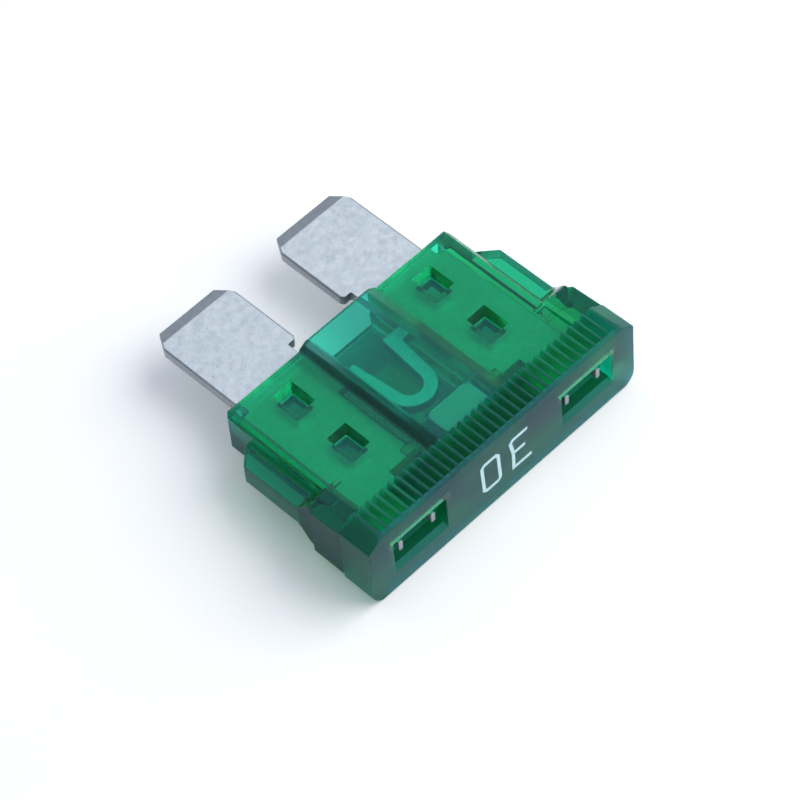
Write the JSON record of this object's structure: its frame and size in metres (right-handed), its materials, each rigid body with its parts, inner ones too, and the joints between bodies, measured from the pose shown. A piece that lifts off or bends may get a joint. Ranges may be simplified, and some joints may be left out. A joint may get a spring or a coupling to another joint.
{
  "type": "automotive blade fuse",
  "caption": "Plug-in blade fuse: translucent moulded housing with ribbed grip head, test windows, flat metal blades and a blown-fuse indicator.",
  "frame": {"origin": "centre of the footprint on the surface that the fuse lies on", "axes": "+Z out of the front face, +Y towards the blade tips, +X to the right seen from the front with the tips up"},
  "size_m": [0.019, 0.0188, 0.0052],
  "materials": {
    "green_plastic": "clear tinted moulding",
    "blade_metal": "matt zinc",
    "board": "satin",
    "light_body": "satin",
    "resistor_body": "satin",
    "contact_strip": "satin"
  },
  "bodies": {
    "root": {"housing": "green_plastic", "fuse_element": "blade_metal", "indicator_board": "board", "indicator_light": "light_body", "indicator_resistor": "resistor_body", "left_contact": "contact_strip", "right_contact": "contact_strip"}
  },
  "joints": []
}
